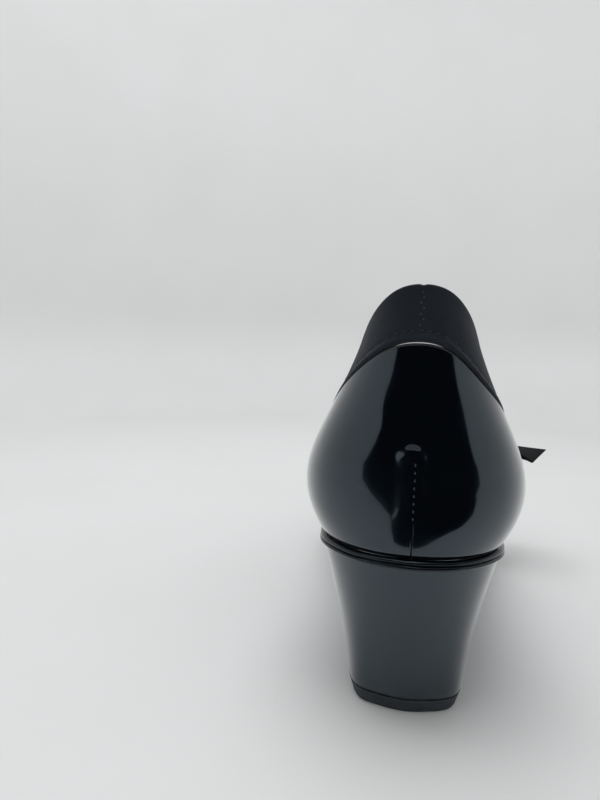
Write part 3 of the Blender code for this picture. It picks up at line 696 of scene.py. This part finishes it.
def level(line, where, height):
    """One level of a slab: its outer and inner points at distances along the shoe."""
    line = np.roll(line, -int(np.argmin(line[:, 1])), axis=0)
    toe = int(np.argmax(line[:, 1]))
    outer = np.interp(where, line[:toe + 1, 1], line[:toe + 1, 0])
    back = np.vstack([line[toe:], line[:1]])[::-1]
    inner = np.interp(where, back[:, 1], back[:, 0])
    ends = (where <= line[:, 1].min()) | (where >= line[:, 1].max())
    outer, inner = (np.where(ends, (outer + inner) / 2, side) for side in (outer, inner))
    z = height(where)
    return np.column_stack([outer, where, z]), np.column_stack([inner, where, z])


def distances(line, steps, front=None):
    """Distances along an outline that crowd to its back, and to its toe or a blunt front."""
    back, toe = line[:, 1].min(), line[:, 1].max()
    if front is None:
        return back + (toe - back) * (1 - np.cos(np.linspace(0, math.pi, steps + 1))) / 2
    return back + (front - back) * (1 - np.cos(np.linspace(0, math.pi / 2, steps + 1)))


def slab(name, levels, materials, node, blunt=False, under=None, angle=50):
    """A piece between levels, each of them two sides from the back to the toe. The array under
    is the grid of points of its lower face, from the outer side inwards."""
    count = len(levels[0][0])
    stack = np.array([np.concatenate([outer, inner[::-1]]) for outer, inner in levels])
    size = 2 * count
    quads, (_, j) = ring_quads(len(stack), size, around=False)
    keep = np.ones(len(quads), bool)
    keep[j == size - 1] = False
    if not blunt:
        keep[j == count - 1] = False
    faces = quads[keep].tolist()
    top = (len(stack) - 1) * size
    faces += [[top + i, top + i + 1, top + size - 2 - i, top + size - 1 - i]
              for i in range(count - 1)]
    points = stack.reshape(-1, 3)
    if under is None:
        faces += [[i + 1, i, size - 1 - i, size - 2 - i] for i in range(count - 1)]
    else:
        rows, columns = under.shape[:2]
        lower, _ = ring_quads(rows, columns, around=False, across=False)
        faces += (lower + len(points)).tolist()
        points = np.vstack([points, under.reshape(-1, 3)])
    mesh = new_mesh(name, points + SHIFT, faces)
    finish_mesh(name, mesh, materials, node, angle)


def make_wedge():
    """The covered wedge: patent drawn over the block, turned over its top and bottom edges."""
    front = WEDGE_FRONT * SHOE_LENGTH
    turned = 0.45 * MM
    steps = 170
    levels = []
    low_turn = np.linspace(0.1, 1, 5) * math.pi / 2
    high_turn = np.linspace(0, 0.9, 5) * math.pi / 2
    shares = np.concatenate([np.zeros(5), np.linspace(0, 1, 34)[1:-1], np.ones(5)])
    insets = turned * np.concatenate([1 - np.sin(low_turn), np.zeros(32),
                                      1 - np.cos(high_turn)])
    drops = turned * np.concatenate([1 - np.cos(low_turn), np.zeros(32),
                                     (np.sin(high_turn) - 1)[::-1]])
    for share, inset, drop in zip(shares, insets, drops):
        base = outline(TREAD, inset)
        top = outline(SEAM, inset)
        low = level(base, distances(base, steps, front), lambda y: 0 * y + HEEL_SOLE + GAP)
        high = level(top, distances(top, steps, front), seat_level)
        hollow = WEDGE_HOLLOW * 4 * share * (1 - share)
        sides = []
        for below, above, turn in ((low[0], high[0], 1), (low[1], high[1], -1)):
            side = below * (1 - share) + above * share
            tall = np.clip((above[:, 2] - below[:, 2]) / SEAT_HEIGHT, 0, 1)
            along = np.gradient(side[:, :2], axis=0)
            along[0] = (turn, 0)
            wave = np.sin(side[:, 2] / MM / 6.1) * np.sin(side[:, 1] / MM / 8.7 + 0.9)
            swell = (0.03 * MM * wave - hollow) * tall
            side[:, :2] += out_of(turn * along) * swell[:, None]
            side[:, 2] += drop * np.clip(tall * 6, 0, 1)
            sides.append(side)
        levels.append(sides)
    slab("wedge_cover", levels, [PATENT], "wedge", blunt=True)


TREAD_PITCH = 4.2 * MM
TREAD_GROOVE = 0.9 * MM
TREAD_DEPTH = 0.6 * MM
GROOVE_BEVEL = 0.25 * MM
# The ribbed stretches of the tread, and where the tread itself starts and how long it is
TREAD_RUNS = ((16 * MM, 62 * MM), (112 * MM, 226 * MM))
TREAD_START = 9 * MM
TREAD_LENGTH = 229 * MM


def make_outsole():
    """The rubber sole: a ribbed tread under the heel and the ball, and a fine moulded line."""
    front = WEDGE_FRONT * SHOE_LENGTH
    step = 0.05 * MM
    edges = np.array([place + across for first, last in TREAD_RUNS
                      for place in np.arange(first, last, TREAD_PITCH)
                      for across in (0, GROOVE_BEVEL, TREAD_GROOVE - GROOVE_BEVEL,
                                     TREAD_GROOVE)])

    def stations(line):
        back, toe = line[:, 1].min(), line[:, 1].max()
        where = distances(line, 190)
        where = where[abs(where - front) > 0.5 * MM]
        ribs = back + (edges - TREAD_START) / TREAD_LENGTH * (toe - back)
        return np.unique(np.concatenate([where, [front + GAP, front + GAP + step], ribs]))

    def top_height(y):
        return np.where(y > front + GAP + step / 2, seat_level(y), 0 * y + HEEL_SOLE)

    rows = [(0.0, SOLE_DRAFT + SOLE_EDGE_RADIUS)]
    for turn in np.linspace(0.15, 1, 6) * math.pi / 2:
        rows.append(((1 - math.cos(turn)) * SOLE_EDGE_RADIUS / HEEL_SOLE,
                     SOLE_DRAFT + SOLE_EDGE_RADIUS * (1 - math.sin(turn))))
    for share in np.linspace(0.2, 0.94, 14):
        rows.append((share, SOLE_DRAFT * (1 - share) + 0.16 * MM * hill(share, 0.80, 0.05)))
    rows += [(0.975, 0.03 * MM), (1.0, 0.20 * MM)]
    count = len(stations(outline(TREAD, rows[0][1])))
    levels = []
    for share, inset in rows:
        line = outline(TREAD, inset)
        toe = line[:, 1].max()
        where = np.append(stations(line), np.full(count, toe))[:count]
        where[-1] = toe
        levels.append(level(line, where, lambda y, share=share: toe_spring(y) * (1 - share)
                            + top_height(y) * share))
    outer, inner = levels[0]
    across = np.concatenate([[0], np.linspace(0.10, 0.16, 3), np.linspace(0.24, 0.76, 7),
                             np.linspace(0.84, 0.90, 3), [1]])
    under = outer[:, None] * (1 - across[None, :, None]) + inner[:, None] * across[None, :, None]
    y = under[..., 1]
    mapped = TREAD_START + (y - outer[0, 1]) / (outer[-1, 1] - outer[0, 1]) * TREAD_LENGTH
    deep = np.zeros(y.shape)
    for place in edges[::4]:
        inside = (mapped - place) / TREAD_GROOVE
        deep = np.maximum(deep, smooth_step(np.minimum(inside, 1 - inside) / 0.28)
                          * ((inside > 0) & (inside < 1)))
    within = smooth_step((0.5 - abs(across - 0.5) - 0.11) / 0.04)
    under[..., 2] += TREAD_DEPTH * deep * within[None]
    slab("rubber_sole", levels, [RUBBER], "outsole", under=under, angle=40)


def make_insole():
    """The footbed under its sock lining, with a soft edge."""
    inset = RAND_DEPTH + GAP
    levels = []
    # How high each level lies and how far it is drawn in, in mm
    for lift, draw in ((0, 0.8), (0.25, 0.25), (0.8, 0), (2.1, 0), (2.5, 0.12), (2.8, 0.4),
                       (2.95, 0.8), (3.0, 1.4)):
        line = outline(SEAM, inset + draw * MM)
        levels.append(level(line, distances(line, 120),
                            lambda y, lift=lift: seat_level(y) + GAP + lift * MM))
    slab("footbed", levels, [FOOTBED], "insole")


# The bow on the vamp

def vamp_surface():
    """The outer face of the vamp, to look up places on it."""
    wall = Wall(np.linspace(0.22 * GIRTH, 0.78 * GIRTH, 241))
    points, _ = wall.at(np.linspace(0, 1, 81)[None] * wall.total[:, None])
    quads, _ = ring_quads(241, 81, around=False, across=False)
    return BVHTree.FromPolygons(points.reshape(-1, 3).tolist(), quads.tolist())


def on_vamp(vamp, x, y, away):
    """The point above (x, y) that stands off the vamp by a distance, and the way out there."""
    place, normal, _, _ = vamp.ray_cast(Vector((x, y, COLLAR_HEIGHT)), Vector((0, 0, -1)))
    if place is None:
        place, normal, _, _ = vamp.find_nearest(Vector((x, y, THROAT_HEIGHT / 2)))
    if normal.z < 0:
        normal = -normal
    return place + normal * away, normal


def bow_frame(vamp):
    """The bow's own frame on the vamp: foot, across to the outer side, forward, and up."""
    foot, up = on_vamp(vamp, BOW_SIDE, BOW_ALONG * SHOE_LENGTH, 0)
    up = (up + Vector((0, 0, 1))).normalized()
    across = Vector((1, 0, 0))
    across = (across - up * across.dot(up)).normalized()
    return [np.array(axis) for axis in (foot, across, up.cross(across), up)]


def place_in_bow(frame, across, forward, up):
    """Points of the bow: its loops lean back and turn their backs down towards their ends."""
    foot, across_axis, forward_axis, up_axis = frame
    share = across / BOW_HALF_LENGTH
    back = math.sin(BOW_TILT) * abs(across)
    outward = across + math.sin(BOW_TILT) * forward * share
    height = up + BOW_RISE * share ** 2 + LOOP_TWIST * forward * abs(share)
    return (foot + outward[..., None] * across_axis + (forward - back)[..., None] * forward_axis
            + height[..., None] * up_axis)


def ribbon_sections(over, under):
    """Closed sections from the two faces of a ribbon, with its cut edges rounded."""
    middle = (over + under) / 2
    edges = []
    for side in (-1, 0):
        away = unit(middle[:, side] - middle[:, 1 if side == 0 else -2])
        edges.append(middle[:, side] + away * RIBBON * 0.28)
    return np.concatenate([over, edges[0][:, None], under[:, ::-1], edges[1][:, None]], axis=1)


LOOP_CLOSING = 0.55
LOOP_SLANT = 4.5 * MM
LOOP_DROOP = 3.2 * MM


def make_loop(name, side, frame):
    """A loop of the bow: a ribbon that runs out, turns and comes back, pleated at the knot. Its
    end closes, slants and droops."""
    start = KNOT_LENGTH / 2 + GAP
    angle = np.linspace(0, 2 * math.pi, 170, endpoint=False)[:, None]
    edge = np.linspace(-1, 1, 21)[None]
    run = (1 - np.cos(angle)) / 2
    swell = np.sin(angle)
    fullness = (0.25 + 0.75 * np.sin(math.pi * np.minimum(run * 0.62 + 0.2, 1))) * swell
    fullness = fullness * (1 - LOOP_CLOSING * run ** 2)
    half = LOOP_WIDTH_KNOT / 2 + (LOOP_WIDTH_END - LOOP_WIDTH_KNOT) / 2 * run ** 2
    back_edge = (1 - edge) / 2
    turn_x = np.cos(angle) * abs(np.cos(angle)) ** 3
    size = np.hypot(turn_x, swell)
    pleat = 0.55 * MM * np.cos(edge * 7.5) * np.exp(-run / 0.16)
    drape = 0.35 * MM * np.sin(edge * 2.4 + 3.0 * run) * run * (1 - run) * 4
    faces = []
    for thick in (0, RIBBON):
        across = (start + RIBBON / 2 + run * (BOW_HALF_LENGTH - start - RIBBON)
                  + turn_x / size * thick - LOOP_SLANT * run ** 3 * back_edge)
        up = 2 * (RIBBON + GAP) + LOOP_HEIGHT / 2 + fullness * LOOP_HEIGHT / 2
        up = up - swell / size * thick + (pleat + drape) * abs(swell) ** 0.5
        up = up - LOOP_DROOP * run ** 4 * back_edge
        faces.append(place_in_bow(frame, side * across, edge * half, up))
    ring_piece(name, ribbon_sections(*faces), [RIBBON_CLOTH], name)


def make_tail(name, side, frame, vamp):
    """A tail of the bow: a flat ribbon that lies on the vamp, with a slanted end."""
    along = np.array([side * math.cos(TAIL_SPREAD), math.sin(TAIL_SPREAD)])
    beside = np.array([-along[1], along[0]]) * side
    centre = np.array([BOW_SIDE + side * (TAIL_WIDTH / 2 + GAP), frame[0][1]])
    over, under = [], []
    for run in np.linspace(0, 1, 61):
        half = (0.7 + 0.3 * run) * TAIL_WIDTH / 2
        rows = ([], [])
        for edge in np.linspace(-1, 1, 19):
            plan = (centre + along * (run * TAIL_LENGTH - TAIL_SLANT * edge * run)
                    + beside * edge * half)
            ripple = 0.22 * MM * (1 + math.sin(5.5 * run + 1.2 * edge)) * run
            for row, thick in zip(rows, (RIBBON * 0.9, 0)):
                row.append(on_vamp(vamp, *plan, GAP + TAIL_LIFT + thick + ripple)[0])
        over.append(rows[0])
        under.append(rows[1])
    ring_piece(name, ribbon_sections(np.array(over), np.array(under)), [RIBBON_CLOTH],
               name, ends=True)


def make_knot(frame):
    """The knot: a band of ribbon with three soft folds, pulled over the middle of the bow."""
    along = np.linspace(-1, 1, 45)[:, None]
    turn = np.linspace(0, 2 * math.pi, 72, endpoint=False)[None]
    bottom = 2 * GAP + RIBBON
    cos, sin = np.cos(turn), np.sin(turn)
    y = np.sign(cos) * abs(cos) ** 0.6 * (0.9 - 0.1 * sin)
    z = np.sign(sin) * abs(sin) ** 0.6
    ends = np.sqrt(np.clip(1 - abs(along) ** 7, 0.3, 1))
    folds = 1 + 0.035 * np.cos(along * 9.0 + 0.5 * sin) * (sin > -0.6)
    size = ends * folds * 0.97
    points = place_in_bow(frame, along * KNOT_LENGTH / 2 + 0 * turn,
                          y * size * KNOT_WIDTH / 2,
                          bottom + KNOT_HEIGHT / 2 + z * size * KNOT_HEIGHT / 2)
    ring_piece("bow_knot", points, [RIBBON_CLOTH], "bow_knot", ends=True)


# Stitches

def stitch_tree():
    """A Geometry Nodes tree that lays one thread stitch at each point of a mesh, turned by its
    attributes: along is the way of the seam and out the way off the wall."""
    tree = bpy.data.node_groups.new("stitch_row", "GeometryNodeTree")
    for name, kind in (("Points", "Geometry"), ("Stitch Length", "Float"),
                       ("Thread Thickness", "Float"), ("Thread", "Material")):
        tree.interface.new_socket(name, in_out="INPUT", socket_type="NodeSocket" + kind)
    tree.interface.new_socket("Stitches", in_out="OUTPUT", socket_type="NodeSocketGeometry")
    given = add_node(tree, "NodeGroupInput").outputs
    along, out = (add_node(tree, "GeometryNodeInputNamedAttribute",
                           {"data_type": "FLOAT_VECTOR"}, Name=name) for name in ("along", "out"))
    turn = add_node(tree, "FunctionNodeAxesToRotation",
                    {"primary_axis": "X", "secondary_axis": "Z"}, _0=along, _1=out)
    size = add_node(tree, "ShaderNodeCombineXYZ", X=given["Stitch Length"],
                    Y=given["Thread Thickness"], Z=given["Thread Thickness"])
    bead = add_node(tree, "GeometryNodeMeshUVSphere", Segments=10, Rings=7, Radius=0.5)
    smooth = add_node(tree, "GeometryNodeSetShadeSmooth", Geometry=bead)
    spots = add_node(tree, "GeometryNodeMeshToPoints", Mesh=given["Points"])
    laid = add_node(tree, "GeometryNodeInstanceOnPoints", Points=spots, Instance=smooth,
                    Rotation=turn, Scale=size)
    real = add_node(tree, "GeometryNodeRealizeInstances", Geometry=laid)
    done = add_node(tree, "GeometryNodeSetMaterial", Geometry=real, Material=given["Thread"])
    add_node(tree, "NodeGroupOutput", Stitches=done)
    return tree


STITCH_TREE = stitch_tree()


def stitch_row(name, points, along, out, length, thick, thread, slot):
    """Lays stitches of a length and thickness in mm at the points, as one plain mesh."""
    mesh = new_mesh(name + "_points", points + SHIFT)
    for label, values in (("along", along), ("out", out)):
        layer = mesh.attributes.new(label, "FLOAT_VECTOR", "POINT")
        layer.data.foreach_set("vector", np.broadcast_to(values, points.shape).ravel())
    holder = add_object(name + "_points", mesh)
    modifier = holder.modifiers.new("stitches", "NODES")
    modifier.node_group = STITCH_TREE
    values = {"Stitch Length": length * MM, "Thread Thickness": thick * MM, "Thread": thread}
    for item in STITCH_TREE.interface.items_tree:
        if item.name in values and item.in_out == "INPUT":
            modifier[item.identifier] = values[item.name]
    ready = holder.evaluated_get(bpy.context.evaluated_depsgraph_get())
    laid = bpy.data.meshes.new_from_object(ready)
    laid.name = name
    bpy.data.objects.remove(holder)
    on_shoe(name, laid)


def wall_row(girths, above, away):
    """Places for stitches above the patent's edge, the way along the row, and the way out."""
    wall = Wall(girths)
    points, out = wall.at((wall.band_edge + above)[:, None])
    points = points[:, 0] + out[:, 0] * away
    return points, unit(np.gradient(points, axis=0)), out[:, 0]


def back_row(low, high, pitch, away):
    """Places for stitches up the patent's centre back, the way up, and the way out."""
    back = Wall(np.zeros(1))
    line = on_lines(back.handles, back.samples[None])[0]
    low, high = np.interp((low, high), line[:, 2], back.run[0])
    points, out = (found[0] for found in back.at(np.arange(low, high, pitch)[None]))
    return points + out * (patent_relief(points) + away)[:, None], UPWARD, out


UPWARD = (0.0, 0.0, 1.0)
STITCH_PITCH = 2.9 * MM


def make_stitches():
    """The rows of thread that the photo shows, and a maker's others out of its sight."""
    count = int(GIRTH * 0.80 / STITCH_PITCH)
    hem = wall_row(GIRTH * np.arange(count) / count, GAP / 2 + HEM_DEPTH, 0.05 * MM)
    stitch_row("hem_stitches", *hem, 1.0, 0.40, EDGE_THREAD, "stretch_fabric")
    front = wall_row(GIRTH * np.linspace(0.24, 0.76, 190), -2.3 * MM, 0.02 * MM)
    stitch_row("topline_stitches", *front, 1.15, 0.38, EDGE_THREAD, "patent")

    back = Wall(np.zeros(1))
    edge = back.band_edge[0]
    heights = np.arange(edge + 3.4 * MM, back.total[0] - 1.5 * MM, 1.6 * MM)
    points, out = (found[0] for found in back.at(heights[None]))
    # Single stitches above and a zigzag below, where two seams cross
    zigzag = smooth_step((15 * MM - (heights - edge)) / (3 * MM))
    hand = np.where(np.arange(len(points)) % 2 == 0, 1, -1) * zigzag
    points = points - out * 0.02 * MM
    points[:, 0] += hand * 0.40 * MM
    along = np.column_stack([0.55 * hand, 0 * hand, 1 + 0 * hand])
    stitch_row("back_seam_stitches", points, along, out, 0.62, 0.36, SEAM_THREAD,
               "stretch_fabric")

    stitch_row("dart_stitches", *back_row(65 * MM, DART_TOP - 3.4 * MM, 2.2 * MM, 0.12 * MM),
               0.85, 0.40, SEAM_THREAD, "patent")
    # A dull black strip down the seam below the dart, painted shade for the dark crease there
    stitch_row("back_seam_painted_shade", *back_row(50.5 * MM, 58.5 * MM, 0.8 * MM, 0.02 * MM),
               1.3, 0.42, RIBBON_CLOTH, "patent")

    line = outline(SEAM, RAND_DEPTH + GAP + 4.5 * MM)[::22]
    rows = np.column_stack([line, seat_level(line[:, 1]) + GAP + INSOLE_THICKNESS])
    stitch_row("footbed_stitches", rows, np.roll(rows, -1, axis=0) - rows, UPWARD,
               1.8, 0.45, EDGE_THREAD, "footbed")


# Studio, in metres

FLOOR_RADIUS = 0.62
FLOOR_BEND = 0.16
# Height of the flag, then its left and right ends in degrees round the heel
FLAG = ((0.0, -28, 52), (0.06, -41, 58), (0.12, -42, 57), (0.16, -36, 53), (0.20, -30, 52),
        (0.30, -34, 54), (0.42, -52, 70), (0.56, -60, 76))
FLAG_CENTRE = (-0.015, -0.115)
FLAG_RADIUS = 0.50
FLAG_FOOT = ((-0.20, -0.49), (-0.085, -0.38), (-0.048, -0.224), (0.031, -0.220),
             (0.075, -0.233), (0.179, -0.255), (0.36, -0.38))
FLAG_FOOT_LIFT = 0.003
# In mm from the back of the seat, and in degrees: turn to the left, dip and roll
CAMERA_PLACE = (-3.4, -169.5, 114.7)
CAMERA_TURN = (10.06, 5.7, 1.73)


def make_floor():
    """A pale floor that curves up into a wall all round."""
    paint = Surface("floor_paint", "#e8e8e7", Roughness=0.55)
    profile = [(0.30, 0.0), (0.50, 0.0), (FLOOR_RADIUS, 0.0)]
    profile += [(FLOOR_RADIUS + FLOOR_BEND * math.sin(a), FLOOR_BEND * (1 - math.cos(a)))
                for a in np.linspace(0, math.pi / 2, 16)[1:]]
    profile += [(0.78, 0.40), (0.78, 0.80)]
    turn = np.linspace(0, 2 * math.pi, 96, endpoint=False)
    points = [(r * math.cos(t), r * math.sin(t), z) for r, z in profile for t in turn]
    quads, _ = ring_quads(len(profile), 96, around=False)
    mesh = new_mesh("floor_and_wall", points, quads.tolist() + [list(range(96))[::-1]])
    mesh.shade_smooth()
    mesh.materials.append(paint.two_tones(paint.noise(9.0, 3.0), "#e3e3e2", "#eaeaea"))
    floor = add_object("floor_and_wall", mesh)


def round_heel(degrees, radius, z):
    turn = math.radians(degrees)
    return (FLAG_CENTRE[0] + radius * math.sin(turn), FLAG_CENTRE[1] - radius * math.cos(turn), z)


def make_flag():
    """A dark flag behind the camera, which only the gloss sees. It stands round the heel, wider
    towards its top, with its foot spread on the floor."""
    cloth = Surface("black_flag", "#010204", Roughness=1.0, Specular_IOR_Level=0.0)
    points = [round_heel(left + (right - left) * share / 24, FLAG_RADIUS, z)
              for z, left, right in FLAG for share in range(25)]
    quads, _ = ring_quads(len(FLAG), 25, around=False, across=False)
    first = len(points)
    points += [(x, y, FLAG_FOOT_LIFT) for x, y in FLAG_FOOT]
    points += [round_heel(turn, 0.53, FLAG_FOOT_LIFT) for turn in range(56, -34, -6)]
    mesh = new_mesh("black_flag", points, quads.tolist() + [list(range(first, len(points)))])
    mesh.materials.append(cloth.material)
    flag = add_object("black_flag", mesh)
    flag.visible_camera = False
    flag.visible_diffuse = False
    flag.visible_shadow = False


def make_lights():
    """Even pale air, and one large soft lamp above the shoe."""
    world = bpy.data.worlds.new("studio_air")
    world.use_nodes = True
    air = world.node_tree.nodes["Background"].inputs
    air["Color"].default_value = from_hex("#eceef0")
    air["Strength"].default_value = 0.50
    bpy.context.scene.world = world
    lamp = bpy.data.lights.new("top_softbox", "AREA")
    lamp.shape = "RECTANGLE"
    lamp.size = lamp.size_y = 0.7
    lamp.energy = 5.2
    lamp.color = from_hex("#fdfeff")[:3]
    made = add_object("top_softbox", lamp)
    made.location = (-0.10, 0.05, 1.0)
    made.rotation_euler = (-made.location).to_track_quat("-Z", "Y").to_euler()


def make_camera():
    """The photo's camera: close behind the heel and a little askew."""
    camera = bpy.data.cameras.new("photo_camera")
    camera.lens = 27.05
    camera.sensor_width = 36
    camera.clip_start = 0.005
    made = add_object("photo_camera", camera)
    yaw, pitch, roll = (math.radians(angle) for angle in CAMERA_TURN)
    turn = (Matrix.Rotation(yaw, 3, "Z") @ Matrix.Rotation(math.pi / 2 - pitch, 3, "X")
            @ Matrix.Rotation(roll, 3, "Z"))
    made.location = Vector(CAMERA_PLACE) * MM + Vector(SHIFT)
    made.rotation_euler = turn.to_euler()
    bpy.context.scene.camera = made



bpy.context.scene.view_settings.view_transform = "Standard"
make_camera()
make_upper()
make_collar()
make_rand()
make_wedge()
make_outsole()
make_insole()
VAMP = vamp_surface()
BOW = bow_frame(VAMP)
make_knot(BOW)
for hand, word in ((1, "outer"), (-1, "inner")):
    make_loop("bow_loop_" + word, hand, BOW)
    make_tail("bow_tail_" + word, hand, BOW, VAMP)
make_stitches()
make_floor()
make_flag()
make_lights()
